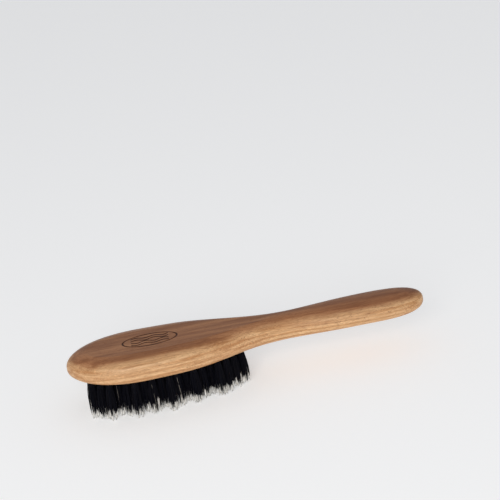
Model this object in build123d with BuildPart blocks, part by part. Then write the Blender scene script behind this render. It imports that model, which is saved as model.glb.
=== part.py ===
from build123d import *

import math
import os

# A wooden hand brush for grooming a pet: one piece of beech with a long oval head, a slim neck and a
# swelling handle, and cross rows of bristle tufts held in blind holes by flat wire anchors.
# Millimetres. X runs along the brush from the head end (-X) to the handle end (+X), Y across it and
# Z up. The brush stands on its bristle tips at Z = 0, and the origin is under the middle of its length.

# Overall sizes
LENGTH = 222.5
FREE_BRISTLE = 21.5  # bristle that stands out of the wood
FACE_Z = FREE_BRISTLE  # the flat underside of the head
LAND_Z = 37.9  # the flat land on the back of the head
LAND_END = 124.0  # the land has run out into the neck by this distance from the head end

# The wood between its rounded ends, as cross sections:
# distance from the head end, half width, underside, back, squareness below, squareness above.
# A squareness of 2 is an ellipse, and a larger one is nearer to a rectangle.
MIDDLE_SECTIONS = (
    (38.0, 25.0, 21.3, 38.6, 4.4, 3.0),
    (56.0, 24.9, 21.3, 38.6, 4.4, 3.0),
    (75.0, 23.1, 21.3, 38.6, 4.2, 3.0),
    (90.0, 19.1, 21.3, 38.6, 3.8, 2.9),
    (106.0, 14.2, 21.9, 38.4, 3.1, 2.7),
    (131.0, 9.6, 22.3, 38.0, 2.4, 2.4),
    (160.0, 12.1, 22.7, 38.7, 2.2, 2.2),
    (186.0, 13.5, 23.2, 39.2, 2.2, 2.2),
)
WIDEST_LEVEL = 0.42  # where a section is widest, as a share of its thickness above the underside
CURVE_SPANS = 16  # in the curve over the back, and in the one under it
CURVE_STEPS = [i / CURVE_SPANS for i in range(CURVE_SPANS + 1)]

# The rounded ends: how far the plan and the thickness take to open, and how full their curves are
NOSE_Z = 28.7  # the foremost point of the head
BUTT_Z = 31.5  # the rearmost point of the handle
NOSE_LENGTH = MIDDLE_SECTIONS[0][0]
BUTT_LENGTH = LENGTH - MIDDLE_SECTIONS[-1][0]
NOSE_FULLNESS = 1.8
BUTT_FULLNESS = 2.4
END_DEPTH = 26.0
DEPTH_FULLNESS = 2.6
TIP_SQUARENESS = 2.2
END_SHARES = (0.002, 0.02, 0.07, 0.18, 0.36, 0.62)  # of an end's length, from its tip

# The bristle field: cross rows, counted from the head end
ROW_PITCH = 5.1
TUFT_PITCH = 5.6
FIRST_ROW = 13.0
TUFTS_PER_ROW = (5, 6, 7, 6, 7, 8, 7, 8, 7, 8, 7, 6, 7, 6, 5, 6, 5, 4, 3)

# One tuft in its blind hole, folded round a flat wire that spans the hole
HOLE_RADIUS = 1.5
HOLE_DEPTH = 10.0
ROOT_CLEARANCE = 0.02
TIP_RADIUS = 2.55
FOLD_RADIUS = 1.0
ANCHOR_LENGTH = 2.8
ANCHOR_THICKNESS = 0.4
ANCHOR_HEIGHT = 1.6
ANCHOR_BOTTOM = FACE_Z + HOLE_DEPTH - 2.9
ANCHOR_CLEARANCE = 0.02

# The shallow mark engraved in the land: wavy strands of hair in an oval ring
MARK_PLACE = 52.0
MARK_HALF_LENGTH = 17.0
MARK_HALF_WIDTH = 8.0
MARK_LINE = 0.8
MARK_DEPTH = 0.35
STRANDS = (-1.5, -0.5, 0.5, 1.5)  # in strand spacings from the middle
STRAND_SPACING = 2.7
STRAND_BENDS = 4
STRAND_BEND_LENGTH = 5.5
STRAND_SWING = 0.8


def along(distance):
    """X of a place given as its distance from the head end."""
    return distance - LENGTH / 2


def opening(share, fullness):
    """How far a rounded end has opened, from 0 at its tip (share 0) to 1 where it meets the middle."""
    return (1 - (1 - min(share, 1)) ** fullness) ** (1 / fullness)


def end_section(share, end_length, fullness, tip_z, full_section):
    """The sizes of a section at a share of a rounded end's length from its tip."""
    half_width, underside, back, under_squareness, back_squareness = full_section[1:]
    depth = opening(share * end_length / END_DEPTH, DEPTH_FULLNESS)
    return (
        half_width * opening(share, fullness),
        tip_z + (underside - tip_z) * depth,
        tip_z + (back - tip_z) * depth,
        TIP_SQUARENESS + (under_squareness - TIP_SQUARENESS) * share,
        TIP_SQUARENESS + (back_squareness - TIP_SQUARENESS) * share,
    )


def section_face(distance, half_width, underside, back, under_squareness, back_squareness):
    """The closed outline of the wood at one distance from the head end, in an upper and a lower curve.
    It is made outside any sketch, which would join the two curves and make the loft heavy."""
    widest_z = underside + WIDEST_LEVEL * (back - underside)
    halves = ((back - widest_z, back_squareness), (underside - widest_z, under_squareness))
    curves = []
    for height, squareness in halves:
        points = []
        for step in CURVE_STEPS:
            across = math.cos(math.pi * step)
            up = math.sin(math.pi * step)
            reach = (abs(across) ** squareness + up**squareness) ** (-1 / squareness)
            y = half_width * reach * across
            points.append((along(distance), y, widest_z + height * reach * up))
        tangents = [(0, 0, height), (0, 0, -height)]
        curves.append(Edge.make_spline(points, tangents=tangents, parameters=CURVE_STEPS))
    return Face(Wire(curves))


def wood_sections():
    """Every section of the wood, from the nose to the butt."""
    first = MIDDLE_SECTIONS[0]
    last = MIDDLE_SECTIONS[-1]
    sections = []
    for share in END_SHARES:
        size = end_section(share, NOSE_LENGTH, NOSE_FULLNESS, NOSE_Z, first)
        sections.append(section_face(share * NOSE_LENGTH, *size))
    for section in MIDDLE_SECTIONS:
        sections.append(section_face(*section))
    for share in reversed(END_SHARES):
        size = end_section(share, BUTT_LENGTH, BUTT_FULLNESS, BUTT_Z, last)
        sections.append(section_face(LENGTH - share * BUTT_LENGTH, *size))
    return sections


def row_places(row):
    """X and Y of each tuft in a cross row, centred on the brush. Rows of odd and even count stagger."""
    count = TUFTS_PER_ROW[row]
    x = along(FIRST_ROW + row * ROW_PITCH)
    return [(x, (i - (count - 1) / 2) * TUFT_PITCH) for i in range(count)]


def strand_bend(strand, bend):
    """One arc of an engraved strand, which bends out and in by turns, as its mirror image does."""
    start = along(MARK_PLACE) + (bend - STRAND_BENDS / 2) * STRAND_BEND_LENGTH
    y = strand * STRAND_SPACING
    crest = y + math.copysign(STRAND_SWING, strand) * (-1) ** bend
    return Edge.make_three_point_arc(
        (start, y), (start + STRAND_BEND_LENGTH / 2, crest), (start + STRAND_BEND_LENGTH, y)
    )


ROWS = range(len(TUFTS_PER_ROW))
ALL_PLACES = [place for row in ROWS for place in row_places(row)]

os.makedirs("parts", exist_ok=True)

# The wooden body: lofted, flattened under the head and on its back, engraved and bored for the tufts
with BuildPart() as wooden_body:
    loft(wood_sections())
    with BuildSketch(Plane.XY.offset(FACE_Z)):
        Rectangle(LENGTH, LENGTH)
    extrude(amount=-FACE_Z, mode=Mode.SUBTRACT)
    with BuildSketch(Plane.XY.offset(LAND_Z)):
        with Locations((along(LAND_END / 2), 0)):
            Rectangle(LAND_END, LENGTH)
    extrude(amount=FACE_Z, mode=Mode.SUBTRACT)
    with BuildSketch(Plane.XY.offset(LAND_Z)):
        with Locations((along(MARK_PLACE), 0)):
            Ellipse(MARK_HALF_LENGTH, MARK_HALF_WIDTH)
            Ellipse(MARK_HALF_LENGTH - MARK_LINE, MARK_HALF_WIDTH - MARK_LINE, mode=Mode.SUBTRACT)
        for strand in STRANDS:
            for bend in range(STRAND_BENDS):
                SlotArc(strand_bend(strand, bend), MARK_LINE)
    extrude(amount=-MARK_DEPTH, mode=Mode.SUBTRACT)
    with BuildSketch(Plane.XY.offset(FACE_Z)):
        with Locations(*ALL_PLACES):
            Circle(HOLE_RADIUS)
    extrude(amount=HOLE_DEPTH, mode=Mode.SUBTRACT)
wooden_body.part.label = "wooden_body"
export_step(wooden_body.part, "parts/wooden_body.step")

# One tuft on the Z axis: a round root in its hole, folded over at the top, and a bunch that opens
# towards the tips, with the gap in the fold that the anchor fills
with BuildPart() as tuft:
    with BuildSketch(Plane.XZ):
        with BuildLine():
            root_radius = HOLE_RADIUS - ROOT_CLEARANCE
            root_top = FACE_Z + HOLE_DEPTH - ROOT_CLEARANCE
            Polyline(
                (0, 0),
                (TIP_RADIUS, 0),
                (root_radius, FACE_Z),
                (root_radius, root_top),
                (0, root_top),
                close=True,
            )
        make_face()
    revolve(axis=Axis.Z)
    fillet(tuft.edges().filter_by(GeomType.CIRCLE).sort_by(Axis.Z)[-1], FOLD_RADIUS)
    with BuildSketch(Plane.XY.offset(ANCHOR_BOTTOM)):
        Rectangle(ANCHOR_THICKNESS, 2 * HOLE_RADIUS)
    extrude(amount=ANCHOR_HEIGHT, mode=Mode.SUBTRACT)

# One anchor on the Z axis: a short piece of flat wire, on edge across the hole
with BuildPart() as anchor:
    with BuildSketch(Plane.XY.offset(ANCHOR_BOTTOM + ANCHOR_CLEARANCE)):
        Rectangle(ANCHOR_THICKNESS - 2 * ANCHOR_CLEARANCE, ANCHOR_LENGTH)
    extrude(amount=ANCHOR_HEIGHT - 2 * ANCHOR_CLEARANCE)

# The same tuft and anchor at every place, one node of each to a cross row
for row in ROWS:
    with BuildPart() as tuft_row:
        with Locations(*row_places(row)):
            add(tuft.part)
    tuft_row.part.label = f"tuft_row_{row + 1:02d}"
    export_step(tuft_row.part, f"parts/{tuft_row.part.label}.step")

    with BuildPart() as anchor_row:
        with Locations(*row_places(row)):
            add(anchor.part)
    anchor_row.part.label = f"anchor_row_{row + 1:02d}"
    export_step(anchor_row.part, f"parts/{anchor_row.part.label}.step")
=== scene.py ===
"""The looks of the bristle brush: beech wood, natural bristle with split tips, and the studio.

The CAD wood and wire stay as they are and get procedural materials. Each row of plain CAD tufts is
replaced by separate bristles. Lengths are in millimetres, apart from the studio's.
"""

import math

import bpy
import numpy as np
from mathutils import Matrix, Vector


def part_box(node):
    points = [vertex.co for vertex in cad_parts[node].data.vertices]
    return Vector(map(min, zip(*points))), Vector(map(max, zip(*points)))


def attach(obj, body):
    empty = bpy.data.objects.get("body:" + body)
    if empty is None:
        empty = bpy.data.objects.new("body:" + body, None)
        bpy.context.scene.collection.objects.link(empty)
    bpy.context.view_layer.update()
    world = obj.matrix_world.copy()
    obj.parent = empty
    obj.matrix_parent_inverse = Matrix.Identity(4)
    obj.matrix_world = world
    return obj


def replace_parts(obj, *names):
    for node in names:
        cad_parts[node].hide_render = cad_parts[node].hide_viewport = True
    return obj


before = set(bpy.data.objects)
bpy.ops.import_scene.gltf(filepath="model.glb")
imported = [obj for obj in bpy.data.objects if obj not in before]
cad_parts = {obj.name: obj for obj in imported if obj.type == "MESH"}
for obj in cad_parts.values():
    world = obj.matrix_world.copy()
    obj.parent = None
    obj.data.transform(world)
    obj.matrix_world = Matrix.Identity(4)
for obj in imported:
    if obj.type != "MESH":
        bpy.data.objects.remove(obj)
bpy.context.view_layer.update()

MM = 0.001
HEAD_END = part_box("wooden_body")[0].x / MM  # X of the foremost point of the head
FACE_Z = 21.5  # the flat underside of the head
LAND_Z = 37.9  # the flat land on the back of the head


# ---- shading helpers ----
def srgb(red, green, blue):
    """A colour given as sRGB bytes, as the linear colour that a shader takes."""
    def linear(byte):
        share = byte / 255
        return share / 12.92 if share <= 0.04045 else ((share + 0.055) / 1.055) ** 2.4
    return (linear(red), linear(green), linear(blue), 1.0)


class Shading:
    """A new material for one of the record's slots, with short ways to add and join its nodes."""

    def __init__(self, name, slot):
        self.material = bpy.data.materials.new(name)
        self.material.use_nodes = True
        self.material["slot"] = slot
        self.tree = self.material.node_tree
        self.tree.nodes.clear()
        output = self.tree.nodes.new("ShaderNodeOutputMaterial")
        self.shader = self.tree.nodes.new("ShaderNodeBsdfPrincipled")
        self.join(self.shader.outputs["BSDF"], output.inputs["Surface"])

    def join(self, value, socket):
        """Link a node's output to the socket, or set a plain value on it."""
        if isinstance(value, bpy.types.NodeSocket):
            self.tree.links.new(value, socket)
        else:
            socket.default_value = value

    def surface(self, name, value):
        """Give one input of the Principled shader."""
        self.join(value, self.shader.inputs[name])

    def position(self, size=(1, 1, 1), offset=(0, 0, 0)):
        """Object coordinates in millimetres, divided by a pattern's size along each axis."""
        coordinates = self.tree.nodes.new("ShaderNodeTexCoord")
        mapping = self.tree.nodes.new("ShaderNodeMapping")
        mapping.inputs["Location"].default_value = offset
        mapping.inputs["Scale"].default_value = [1 / (length * MM) for length in size]
        self.join(coordinates.outputs["Object"], mapping.inputs["Vector"])
        return mapping.outputs["Vector"]

    def axes(self):
        """Object coordinates in millimetres, as three separate numbers."""
        node = self.tree.nodes.new("ShaderNodeSeparateXYZ")
        self.join(self.position(), node.inputs[0])
        return node.outputs[0], node.outputs[1], node.outputs[2]

    def noise(self, size, detail, offset=(0, 0, 0), roughness=0.5, distortion=0.0):
        """Soft noise whose blotches are about as large as the size."""
        node = self.tree.nodes.new("ShaderNodeTexNoise")
        self.join(self.position(size, offset), node.inputs["Vector"])
        node.inputs["Scale"].default_value = 1.0
        node.inputs["Detail"].default_value = detail
        node.inputs["Roughness"].default_value = roughness
        node.inputs["Distortion"].default_value = distortion
        return node.outputs["Fac"]

    def each_bristle(self):
        """A number from 0 to 1 that is the same all over one bristle."""
        geometry = self.tree.nodes.new("ShaderNodeNewGeometry")
        return geometry.outputs["Random Per Island"]

    def math(self, operation, a, b=0.0):
        node = self.tree.nodes.new("ShaderNodeMath")
        node.operation = operation
        self.join(a, node.inputs[0])
        self.join(b, node.inputs[1])
        return node.outputs[0]

    def plus(self, a, b):
        return self.math("ADD", a, b)

    def minus(self, a, b):
        return self.math("SUBTRACT", a, b)

    def times(self, a, b):
        return self.math("MULTIPLY", a, b)

    def gap(self, a, b):
        """How far apart two numbers are."""
        return self.math("ABSOLUTE", self.minus(a, b))

    def length(self, a, b):
        """The length of the flat vector (a, b)."""
        return self.math("SQRT", self.plus(self.times(a, a), self.times(b, b)))

    def remap(self, value, low, high, to_low=0.0, to_high=1.0, smooth=True):
        """The value's place between low and high, turned into one between to_low and to_high."""
        node = self.tree.nodes.new("ShaderNodeMapRange")
        node.interpolation_type = "SMOOTHSTEP" if smooth else "LINEAR"
        self.join(value, node.inputs["Value"])
        node.inputs["From Min"].default_value = low
        node.inputs["From Max"].default_value = high
        node.inputs["To Min"].default_value = to_low
        node.inputs["To Max"].default_value = to_high
        return node.outputs["Result"]

    def mix(self, factor, a, b, blend="MIX"):
        node = self.tree.nodes.new("ShaderNodeMix")
        node.data_type = "RGBA"
        node.blend_type = blend
        self.join(factor, node.inputs["Factor"])
        self.join(a, node.inputs["A"])
        self.join(b, node.inputs["B"])
        return node.outputs["Result"]

    def tint(self, factor, colour, tint):
        """The colour, multiplied by the tint as far as the factor says."""
        return self.mix(factor, colour, self.mix(1.0, colour, (*tint, 1), "MULTIPLY"))

    def bump(self, height, strength, distance):
        node = self.tree.nodes.new("ShaderNodeBump")
        self.join(height, node.inputs["Height"])
        node.inputs["Strength"].default_value = strength
        node.inputs["Distance"].default_value = distance * MM
        return node.outputs["Normal"]


# ---- beech ----
MARK_CENTRE = HEAD_END + 52.0
MARK_HALF_LENGTH = 16.6  # to the middle of the ring's groove
MARK_HALF_WIDTH = 7.6
STRAND_LEVELS = (0.5, 1.5)  # in strand spacings from the middle, on each side of it
STRAND_SPACING = 2.7
STRAND_BEND = 5.5
STRAND_SWING = 0.8
STRAND_HALF_LENGTH = 2 * STRAND_BEND
SCORCH_REACH = 0.75  # from the middle of a groove, where the scorch ends
SCORCH_CORE = 0.4  # and where it is full
SCORCH_DEPTHS = (1.0, 0.6)  # below the land: none under the first, and full above the second

RING_DRIFT = 5.0  # how far the growth rings wander up and down
# The back's darker colour is heartwood, and partly painted shade.
HEARTWOOD_AND_SHADE_LEVELS = (33.5, 37.2)  # from pale sides to the darker back
# Painted shade that darkens the back of the handle towards the grip.
HANDLE_PAINTED_SHADE = (10.0, 75.0)  # along X
SCORCHED = srgb(66, 38, 26)


def burnt_mark(n, x, y, z):
    """How scorched the wood is: an oval ring round four wavy strands, in the grooves and beside them."""
    from_centre = n.minus(x, MARK_CENTRE)
    oval = n.length(n.math("DIVIDE", from_centre, MARK_HALF_LENGTH), n.math("DIVIDE", y, MARK_HALF_WIDTH))
    radius = n.length(from_centre, y)
    from_ring = n.times(n.gap(oval, 1.0), n.math("DIVIDE", radius, oval))

    side = n.math("ABSOLUTE", y)
    wave = n.times(n.math("SINE", n.times(from_centre, math.pi / STRAND_BEND)), STRAND_SWING)
    from_strand = [n.gap(side, n.plus(wave, level * STRAND_SPACING)) for level in STRAND_LEVELS]
    nearest = n.math("MINIMUM", *from_strand)
    past_end = n.minus(n.math("ABSOLUTE", from_centre), STRAND_HALF_LENGTH)
    nearest = n.math("MAXIMUM", nearest, past_end)
    nearest = n.math("MINIMUM", nearest, from_ring)

    deepest, full = SCORCH_DEPTHS
    on_land = n.remap(z, LAND_Z - deepest, LAND_Z - full)
    return n.times(n.remap(nearest, SCORCH_REACH, SCORCH_CORE), on_land)


def beech():
    """Beech with a satin finish.

    Growth rings lie nearly flat in the board, so the back shows the darker heartwood and the sides cut
    through to paler rings. The darker back is partly painted shade as well.
    """
    n = Shading("beech", "wood")
    x, y, z = n.axes()

    drift = n.noise((70, 14, 9), detail=2)
    height_in_board = n.plus(z, n.times(n.minus(drift, 0.5), RING_DRIFT))
    # Darker towards the back: heartwood, and partly painted shade on the back.
    heartwood_and_shade = n.remap(height_in_board, *HEARTWOOD_AND_SHADE_LEVELS)
    ring = n.noise((120, 5.5, 1.7), detail=3, offset=(3.1, 0.4, 7.7), distortion=0.3)
    ring = n.remap(ring, 0.34, 0.66)
    fibre = n.noise((14, 0.42, 0.42), detail=3, offset=(0.0, 2.0, 5.0), roughness=0.6)
    fibre = n.remap(fibre, 0.3, 0.7)
    fine = n.noise((5, 0.16, 0.16), detail=2, roughness=0.6)
    fleck = n.remap(n.noise((2.3, 0.34, 0.34), detail=1, offset=(9.0, 1.0, 4.0)), 0.62, 0.70)
    fleck_patch = n.noise((30, 9, 9), detail=1, offset=(1.0, 8.0, 2.0))
    fleck = n.times(fleck, n.remap(fleck_patch, 0.35, 0.6, 0.25, 1.0))
    cloud = n.noise((38, 16, 16), detail=2, offset=(5.0, 5.0, 5.0))
    # Painted glints: paler streaks along the grain.
    painted_glint = n.noise((7, 0.5, 0.5), detail=1, offset=(6.0, 3.0, 1.0))
    scorch = burnt_mark(n, x, y, z)

    pale = n.mix(ring, srgb(248, 204, 152), srgb(210, 155, 101))
    dark = n.mix(ring, srgb(200, 142, 96), srgb(166, 110, 68))
    # Painted shade: the back darkens towards the grip.
    dark = n.tint(n.remap(x, *HANDLE_PAINTED_SHADE, 0.0, 0.55), dark, (0.60, 0.50, 0.44))
    colour = n.mix(heartwood_and_shade, pale, dark)
    colour = n.tint(n.times(fibre, 0.7), colour, (0.62, 0.52, 0.44))
    colour = n.tint(n.remap(fine, 0.35, 0.65, 0.0, 0.34), colour, (0.5, 0.4, 0.33))
    colour = n.tint(n.remap(cloud, 0.3, 0.7, 0.0, 0.25), colour, (0.84, 0.74, 0.68))
    colour = n.mix(n.times(fleck, 0.75), colour, srgb(124, 72, 40))
    # Painted glints lighten the colour in streaks.
    colour = n.tint(n.remap(painted_glint, 0.56, 0.72, 0.0, 0.4), colour, (1.35, 1.3, 1.22))
    colour = n.mix(n.times(scorch, 0.92), colour, SCORCHED)
    n.surface("Base Color", colour)

    rough = n.remap(fibre, 0.0, 1.0, 0.40, 0.52, smooth=False)
    rough = n.plus(rough, n.times(fleck, 0.12))
    rough = n.plus(rough, n.times(scorch, 0.2))
    n.surface("Roughness", rough)

    relief = n.plus(n.times(fibre, 0.5), n.times(fine, 0.35))
    relief = n.minus(relief, n.times(fleck, 0.5))
    n.surface("Normal", n.bump(relief, 0.35, 0.06))
    n.surface("Specular IOR Level", 0.42)
    n.surface("Coat Weight", 0.12)
    n.surface("Coat Roughness", 0.32)
    return n.material


# ---- bristle and wire ----
def dark_bristle():
    """The dark shafts: blue-black at the root, and a little greyer towards the tip."""
    n = Shading("bristle_dark", "bristle")
    each = n.each_bristle()
    z = n.axes()[2]
    colour = n.mix(n.math("POWER", each, 4.0), (0.0010, 0.0014, 0.0058, 1), (0.010, 0.008, 0.010, 1))
    toward_tip = n.remap(z, 7.0, 1.5)
    colour = n.mix(n.times(toward_tip, 0.25), colour, (0.014, 0.012, 0.018, 1))
    streak = n.noise((0.25, 0.25, 6.0), detail=1)
    colour = n.mix(n.remap(streak, 0.5, 0.75, 0.0, 0.2), colour, (0.02, 0.02, 0.03, 1))
    n.surface("Base Color", colour)
    n.surface("Roughness", n.remap(each, 0.0, 1.0, 0.42, 0.6, smooth=False))
    n.surface("Specular IOR Level", 0.12)
    return n.material


def pale_tip():
    """The split ends: nearly white, and duller high up, where they come out of the dark shaft."""
    n = Shading("bristle_pale_tip", "bristle")
    each = n.each_bristle()
    z = n.axes()[2]
    colour = n.mix(each, srgb(254, 253, 250), srgb(228, 223, 214))
    colour = n.mix(n.remap(z, 4.0, 6.5, 0.0, 0.5), colour, srgb(140, 128, 118))
    n.surface("Base Color", colour)
    n.surface("Roughness", n.remap(each, 0.0, 1.0, 0.45, 0.6, smooth=False))
    return n.material


def pale_shaft():
    """The few bristles that are pale from end to end."""
    n = Shading("bristle_pale_shaft", "bristle")
    cloudy = n.noise((0.4, 0.4, 5.0), detail=2)
    colour = n.mix(n.each_bristle(), srgb(226, 220, 208), srgb(150, 138, 124))
    colour = n.mix(n.remap(cloudy, 0.4, 0.7, 0.0, 0.5), colour, srgb(120, 106, 94))
    n.surface("Base Color", colour)
    n.surface("Roughness", n.remap(cloudy, 0.3, 0.7, 0.35, 0.5))
    return n.material


def drawn_wire():
    """Bright drawn wire, with fine lines along it."""
    n = Shading("drawn_wire", "anchor_wire")
    lines = n.noise((0.05, 3.0, 0.05), detail=3)
    n.surface("Base Color", n.mix(lines, (0.50, 0.48, 0.44, 1), (0.68, 0.66, 0.61, 1)))
    n.surface("Roughness", n.remap(lines, 0.3, 0.7, 0.26, 0.42))
    n.surface("Normal", n.bump(lines, 0.2, 0.01))
    n.surface("Metallic", 1.0)
    return n.material


DARK_BRISTLE = dark_bristle()
PALE_TIP = pale_tip()
PALE_SHAFT = pale_shaft()
CAD_MATERIALS = {"wooden": beech(), "anchor": drawn_wire(), "tuft": DARK_BRISTLE}

for name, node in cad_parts.items():
    for slot in node.material_slots:
        slot.material = CAD_MATERIALS[name.split("_")[0]]


# ---- bristles as meshes ----
class BristleMesh:
    """Collects tapered three-sided bristles and turns them into one mesh."""

    CORNER_ANGLES = np.array([0.0, 2.0944, 4.1888])  # thirds of a turn

    def __init__(self):
        self.points = []
        self.faces = []

    def add(self, path, radii, turn):
        """One bristle along the path, with a radius at each point, and sharp at the last one."""
        first = len(self.points)
        angles = turn + self.CORNER_ANGLES
        around = np.stack([np.cos(angles), np.sin(angles), np.zeros(3)], axis=1)
        for point, radius in zip(path[:-1], radii[:-1]):
            self.points.extend(point + around * radius)
        top = len(self.points)
        self.points.append(path[-1])
        last_ring = top - 3
        for ring in range(first, last_ring, 3):
            for side in range(3):
                a = ring + side
                b = ring + (side + 1) % 3
                self.faces.append((b, a, a + 3, b + 3))
        for side in range(3):
            self.faces.append((last_ring + (side + 1) % 3, last_ring + side, top))
        self.faces.append((first, first + 1, first + 2))

    def build(self, name, material):
        """The piece, riding on the brush and finished as the record's bristle slot says."""
        mesh = bpy.data.meshes.new(name)
        mesh.from_pydata([tuple(point * MM) for point in self.points], [], self.faces)
        mesh.validate()
        mesh.materials.append(material)
        mesh.polygons.foreach_set("use_smooth", [True] * len(mesh.polygons))
        mesh.update()
        piece = bpy.data.objects.new(name, mesh)
        bpy.context.scene.collection.objects.link(piece)
        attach(piece, "root")
        return piece


def bowed_path(root, tip, bow, count):
    """Points from the root to the tip, bowing sideways by bow in the middle."""
    share = np.linspace(0, 1, count)[:, None]
    path = root + (tip - root) * share
    path[:, :2] += bow * (share * (1 - share) * 4)
    return path


def sunflower(count, radius, turn):
    """Points spread evenly over a circle, in a spiral of golden angles."""
    golden_angle = 2.39996
    reach = np.sqrt((np.arange(count) + 0.5) / count) * radius
    angles = turn + np.arange(count) * golden_angle
    return np.stack([np.cos(angles), np.sin(angles)], axis=1) * reach[:, None]


# ---- tufts ----
TUFT_PITCH = 5.6
CAD_TIP_RADIUS = 2.55
ROOT_RADIUS = 1.34  # the bunch in its hole
ROOT_Z = FACE_Z + 2.5  # bristles start this far inside the hole
LOWEST_TIP = 0.02  # above the surface that the brush stands on
TUFT_OPEN = 2.95  # radius of a tuft at its tips
FULL_TURN = 2 * math.pi
SIDE_TURN = 2  # radians, nearly the third of a turn after which a three-sided bristle repeats

HAIRS = 128  # in a tuft
HAIR_RADIUS = 0.14
HAIR_THICKNESS = (0.8, 1.15)  # shares of that radius, from bristle to bristle
HAIR_TAPER = np.array([1.0, 1.0, 0.96, 0.9, 0.8, 0.0])  # from root to tip
HAIR_BOW = (0.2, 0.9)  # shares of a root's distance from the middle of the tuft
BOW_SCATTER = 0.15
SPREAD_SCATTER = 0.2  # about the even places at the tips

BUNCHES = 17  # in a tuft
BUNCH_TURN = 6  # radians, nearly a full turn
BUNCH_SCATTER = 0.3
BUNCH_PULL = 0.75  # how far a tip moves to the middle of its bunch
TIP_SCATTER = 0.05  # about that place
LOWEST_BUNCH = 0.1
BUNCH_UNEVEN = 1.1  # how much higher than that the bunches end
TIP_UNEVEN = 0.35  # and the bristles in one bunch

PALE_BUNCHES = 0.68  # share of the bunches with pale ends
PALE_IN_PALE = 0.9  # share of the bristles with pale ends, in a pale bunch and in a dark one
PALE_IN_DARK = 0.12
PALE_LENGTH = (1.2, 5.4)  # from bunch to bunch
PALE_UNEVEN = (-0.3, 0.5)  # within a bunch
PRONG_PAST_SHAFT = (0.4, 1.1)
PRONG_RADII = [0.18, 0.22, 0.0]
PRONG_SPREAD = 0.16
PRONG_FORK = 0.55  # how far along it a prong bends
PRONG_BACK = 0.2  # how far the bend stands back, as a share of the prong's spread

FIELD_HALF = np.array([47.0, 21.0])  # half length and half width of the field of tufts
SPLAY = np.array([0.4, 3.2])  # how far the outermost tufts lean out, along X and Y

rng = np.random.default_rng(41)


def tuft_centres(node):
    """The middle of each tuft in a row, from the row's box."""
    low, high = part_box(node)
    width = (high.y - low.y) / MM
    count = round((width - 2 * CAD_TIP_RADIUS) / TUFT_PITCH) + 1
    middle = (low.x + high.x) / 2 / MM
    return [np.array((middle, (i - (count - 1) / 2) * TUFT_PITCH)) for i in range(count)]


def add_split_tip(tips, path, length):
    """The pale end of one bristle, split in two prongs that reach a little past the shaft."""
    run = path[-1] - path[-2]
    run = run / np.linalg.norm(run)
    start = path[-1] - run * length
    reach = length + rng.uniform(*PRONG_PAST_SHAFT)
    for prong in range(2):
        part = rng.normal(0, PRONG_SPREAD, 2)
        end = start + run * reach
        end[:2] += part
        end[2] = max(end[2], LOWEST_TIP)
        middle = start * (1 - PRONG_FORK) + end * PRONG_FORK
        middle[:2] -= part * PRONG_BACK
        tips.add([start, middle, end], PRONG_RADII, rng.uniform(0, SIDE_TURN))


def add_tuft(shafts, tips, centre, splay):
    """One tuft: bristles that open from the hole and gather into uneven bunches at their tips."""
    turn = rng.uniform(0, FULL_TURN)
    roots = sunflower(HAIRS, ROOT_RADIUS, turn)
    spread = sunflower(HAIRS, TUFT_OPEN, turn) + rng.normal(0, SPREAD_SCATTER, (HAIRS, 2))
    bunches = sunflower(BUNCHES, TUFT_OPEN, rng.uniform(0, BUNCH_TURN))
    bunches += rng.normal(0, BUNCH_SCATTER, (BUNCHES, 2))
    tip_heights = LOWEST_BUNCH + np.abs(rng.normal(0, BUNCH_UNEVEN, BUNCHES))
    is_pale = rng.uniform(0, 1, BUNCHES) < PALE_BUNCHES
    pale_lengths = rng.uniform(*PALE_LENGTH, BUNCHES)
    for root_place, tip_place in zip(roots, spread):
        bunch = int(np.argmin(np.linalg.norm(bunches - tip_place, axis=1)))
        place = tip_place * (1 - BUNCH_PULL) + bunches[bunch] * BUNCH_PULL
        place = place + rng.normal(0, TIP_SCATTER, 2) + splay
        height = tip_heights[bunch] + abs(rng.normal(0, TIP_UNEVEN))
        root = np.array([*(centre + root_place), ROOT_Z])
        tip = np.array([*(centre + place), height])
        bow = root_place * rng.uniform(*HAIR_BOW) + rng.normal(0, BOW_SCATTER, 2)
        path = bowed_path(root, tip, bow, len(HAIR_TAPER))
        radii = HAIR_RADIUS * rng.uniform(*HAIR_THICKNESS) * HAIR_TAPER
        shafts.add(path, radii, rng.uniform(0, SIDE_TURN))
        if rng.uniform() < (PALE_IN_PALE if is_pale[bunch] else PALE_IN_DARK):
            add_split_tip(tips, path, pale_lengths[bunch] + rng.uniform(*PALE_UNEVEN))


ROWS = sorted(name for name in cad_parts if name.startswith("tuft_row"))
FIELD_MIDDLE = np.mean([centre for row in ROWS for centre in tuft_centres(row)], axis=0)

for row in ROWS:
    shafts = BristleMesh()
    tips = BristleMesh()
    for centre in tuft_centres(row):
        outward = (centre - FIELD_MIDDLE) / FIELD_HALF
        splay = outward * min(1.0, float(np.linalg.norm(outward))) ** 2 * SPLAY
        add_tuft(shafts, tips, centre, splay)
    number = row[-2:]
    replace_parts(shafts.build("bristles_row_" + number, DARK_BRISTLE), row)
    tips.build("bristle_tips_row_" + number, PALE_TIP)

# ---- strays ----
STRAY_RADII = 0.11 * np.array([1, 1, 1, 0.95, 0.9, 0.8, 0.6, 0.0])
STRAYS_PER_TUFT = 3
STRAY_AHEAD = (0.2, 1.1)  # root, from the middle of its tuft towards the head end
STRAY_ASIDE = (-0.9, 0.9)
STRAY_LEAN_AHEAD = (0.4, 3.2)  # tip, from its root
STRAY_LEAN_ASIDE = (-1.5, 1.0)
STRAY_TIP_Z = (0.3, 3.5)
STRAY_BOW = (0.2, 1.4)

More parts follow.
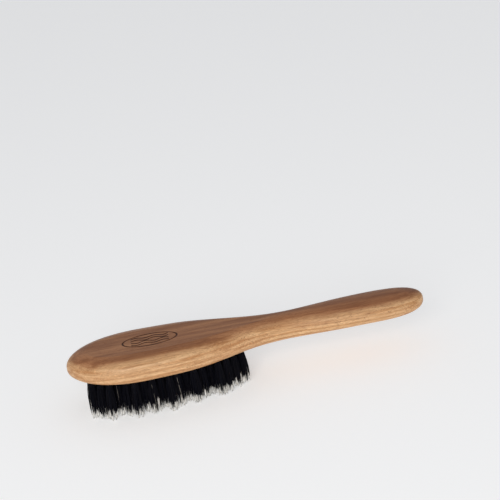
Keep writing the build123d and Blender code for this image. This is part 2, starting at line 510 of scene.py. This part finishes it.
LEANING_ROWS = (3, 7, 10)  # counted from 0 at the head end
LEANING_ROOT = np.array([-0.8, -1.1])  # from the middle of its tuft
LEANING_ALONG = (-1.0, 2.6)  # tip, from the middle of its tuft
LEANING_ACROSS = -3.4
LEANING_TIP_Z = (0.2, 1.5)
LEANING_BOW = np.array([0.0, -0.9])


def add_stray(strays, root, tip, bow):
    strays.add(bowed_path(root, tip, bow, len(STRAY_RADII)), STRAY_RADII, rng.uniform(0, SIDE_TURN))


def head_end_strays(strays):
    """Whole pale bristles that stand apart in front of the first row."""
    first_row = tuft_centres(ROWS[0])
    for centre in first_row[:3] + first_row[-1:]:
        for i in range(STRAYS_PER_TUFT):
            place = centre + (-rng.uniform(*STRAY_AHEAD), rng.uniform(*STRAY_ASIDE))
            lean = (-rng.uniform(*STRAY_LEAN_AHEAD), rng.uniform(*STRAY_LEAN_ASIDE))
            root = np.array([*place, ROOT_Z])
            tip = np.array([*(place + lean), rng.uniform(*STRAY_TIP_Z)])
            add_stray(strays, root, tip, np.array([-rng.uniform(*STRAY_BOW), 0.0]))


def leaning_strays(strays):
    """Single pale bristles that hang over the near side of the tufts."""
    for row_index in LEANING_ROWS:
        centre = tuft_centres(ROWS[row_index])[0]
        place = centre + (rng.uniform(*LEANING_ALONG), LEANING_ACROSS)
        root = np.array([*(centre + LEANING_ROOT), ROOT_Z])
        tip = np.array([*place, rng.uniform(*LEANING_TIP_Z)])
        add_stray(strays, root, tip, LEANING_BOW)


strays = BristleMesh()
head_end_strays(strays)
leaning_strays(strays)
strays.build("stray_bristles", PALE_SHAFT)

# ---- studio, with its lengths in metres ----
FLOOR_HALF = 6
FLOOR_GLOW = 0.36
LAMP_PLACE = (-0.5, -1.5, 0.75)
LAMP_TARGET = (0, 0, 0.02)
LAMP_SIZE = 0.9
LAMP_WATTS = 13.0
ROOM_BRIGHTNESS = 0.42
BACKDROP_BRIGHTNESS = 0.80


def studio_floor():
    """A wide pale floor, with a slight glow that keeps it even."""
    material = bpy.data.materials.new("studio_floor")
    material.use_nodes = True
    shader = material.node_tree.nodes["Principled BSDF"]
    shader.inputs["Base Color"].default_value = (0.86, 0.86, 0.855, 1)
    shader.inputs["Roughness"].default_value = 0.7
    shader.inputs["Specular IOR Level"].default_value = 0.2
    shader.inputs["Emission Color"].default_value = (1, 1, 0.995, 1)
    shader.inputs["Emission Strength"].default_value = FLOOR_GLOW
    mesh = bpy.data.meshes.new("studio_floor")
    corners = [(x * FLOOR_HALF, y * FLOOR_HALF, 0) for x, y in ((-1, -1), (1, -1), (1, 1), (-1, 1))]
    mesh.from_pydata(corners, [], [(0, 1, 2, 3)])
    mesh.materials.append(material)
    floor = bpy.data.objects.new("studio_floor", mesh)
    bpy.context.scene.collection.objects.link(floor)


def studio_room():
    """A room that lights the brush softly, and is as pale as the floor where the camera sees it."""
    world = bpy.data.worlds.new("studio")
    bpy.context.scene.world = world
    world.use_nodes = True
    tree = world.node_tree
    room = tree.nodes["Background"]
    room.inputs["Color"].default_value = (0.93, 0.95, 1.0, 1)
    ray = tree.nodes.new("ShaderNodeLightPath")
    brightness = tree.nodes.new("ShaderNodeMapRange")
    brightness.inputs["To Min"].default_value = ROOM_BRIGHTNESS
    brightness.inputs["To Max"].default_value = BACKDROP_BRIGHTNESS
    tree.links.new(ray.outputs["Is Camera Ray"], brightness.inputs["Value"])
    tree.links.new(brightness.outputs["Result"], room.inputs["Strength"])


def front_lamp():
    """One large soft lamp, in front and to the left."""
    data = bpy.data.lights.new("front_soft", "AREA")
    data.size = LAMP_SIZE
    data.energy = LAMP_WATTS
    data.color = (1.0, 0.985, 0.96)
    lamp = bpy.data.objects.new("front_soft", data)
    bpy.context.scene.collection.objects.link(lamp)
    lamp.location = LAMP_PLACE
    aim = Vector(LAMP_TARGET) - Vector(LAMP_PLACE)
    lamp.rotation_euler = aim.to_track_quat("-Z", "Y").to_euler()


studio_floor()
studio_room()
front_lamp()

# ---- camera ----
CAMERA_PLACE = Vector((HEAD_END + 44.05, -674.0, 371.07)) * MM
CAMERA_TURN = math.radians(6.43)  # from looking along +Y, towards +X
CAMERA_DOWN = math.radians(22.98)
CAMERA_ROLL = math.radians(8.05)
LENS = 89.1  # for a sensor 36 mm wide


def make_camera():
    """A long lens that looks down at the brush from its near side, turned a little about its axis."""
    data = bpy.data.cameras.new("camera")
    data.sensor_width = 36
    data.lens = LENS
    data.clip_start = 0.01
    data.clip_end = 20
    camera = bpy.data.objects.new("camera", data)
    bpy.context.scene.collection.objects.link(camera)
    aim = Vector((
        math.sin(CAMERA_TURN) * math.cos(CAMERA_DOWN),
        math.cos(CAMERA_TURN) * math.cos(CAMERA_DOWN),
        -math.sin(CAMERA_DOWN),
    ))
    level = Vector((math.cos(CAMERA_TURN), -math.sin(CAMERA_TURN), 0))
    upright = level.cross(aim)
    right = level * math.cos(CAMERA_ROLL) - upright * math.sin(CAMERA_ROLL)
    up = level * math.sin(CAMERA_ROLL) + upright * math.cos(CAMERA_ROLL)
    camera.matrix_world = Matrix((
        (right.x, up.x, -aim.x, CAMERA_PLACE.x),
        (right.y, up.y, -aim.y, CAMERA_PLACE.y),
        (right.z, up.z, -aim.z, CAMERA_PLACE.z),
        (0, 0, 0, 1),
    ))
    return camera


bpy.context.scene.camera = make_camera()
bpy.context.scene.view_settings.view_transform = "Standard"
